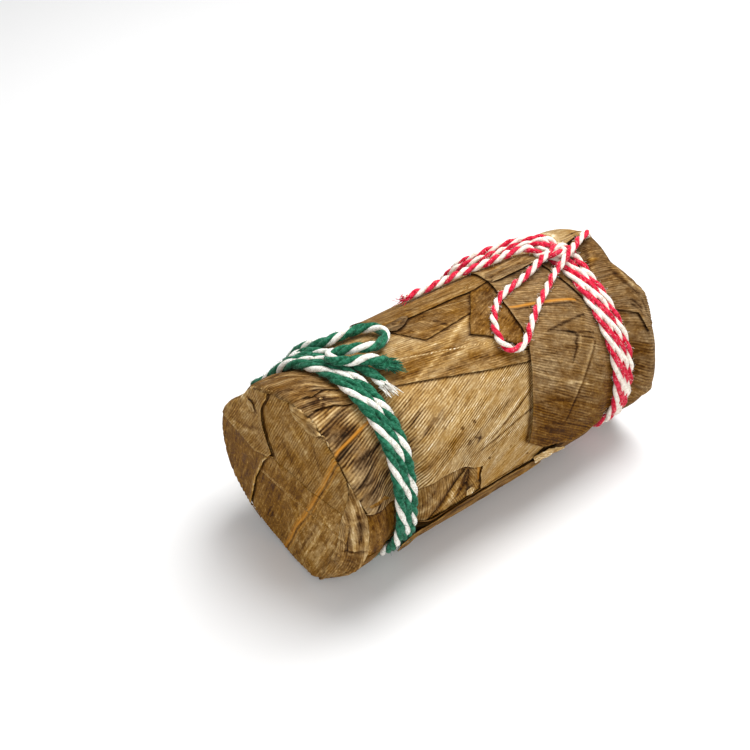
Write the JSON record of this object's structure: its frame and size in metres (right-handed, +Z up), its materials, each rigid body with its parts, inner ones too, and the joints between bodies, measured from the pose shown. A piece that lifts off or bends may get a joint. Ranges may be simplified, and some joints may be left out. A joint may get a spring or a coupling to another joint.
{
  "type": "zongzi rice dumpling",
  "caption": "Cylindrical rice dumpling wrapped in overlapping dried bamboo leaves and tied near each end with striped cotton twine.",
  "frame": {"origin": "middle of the narrow flat that the dumpling rests on, half-way along it and under its axis", "axes": "+X along the dumpling from the end tied with green twine to the end tied with red twine, +Z up, -Y the side with the centre leaf"},
  "size_m": [0.1346, 0.0734, 0.0796],
  "materials": {
    "leaf_olive": "satin",
    "leaf_tan": "satin",
    "leaf_grey_brown": "satin",
    "leaf_golden": "satin",
    "leaf_dark_brown": "satin",
    "twine_green": "matte",
    "twine_red": "matte"
  },
  "bodies": {
    "root": {"leaf_parcel": "leaf_olive", "near_flap_leaf": "leaf_olive", "near_under_leaf": "leaf_grey_brown", "centre_leaf": "leaf_tan", "strip_leaf": "leaf_olive", "upper_leaf": "leaf_grey_brown", "golden_leaf": "leaf_golden", "ridge_leaf": "leaf_tan", "far_top_leaf": "leaf_tan", "far_leaf": "leaf_grey_brown", "far_flap_leaf": "leaf_grey_brown", "low_leaf": "leaf_dark_brown", "tuck_leaf": "leaf_golden", "near_back_leaf": "leaf_olive", "back_leaf": "leaf_tan", "low_back_leaf": "leaf_grey_brown", "under_leaf": "leaf_dark_brown", "end_leaf": "leaf_olive", "end_left_leaf": "leaf_golden", "end_top_leaf": "leaf_tan", "end_flap_leaf": "leaf_olive", "green_twine": "twine_green", "red_twine": "twine_red"}
  },
  "joints": []
}
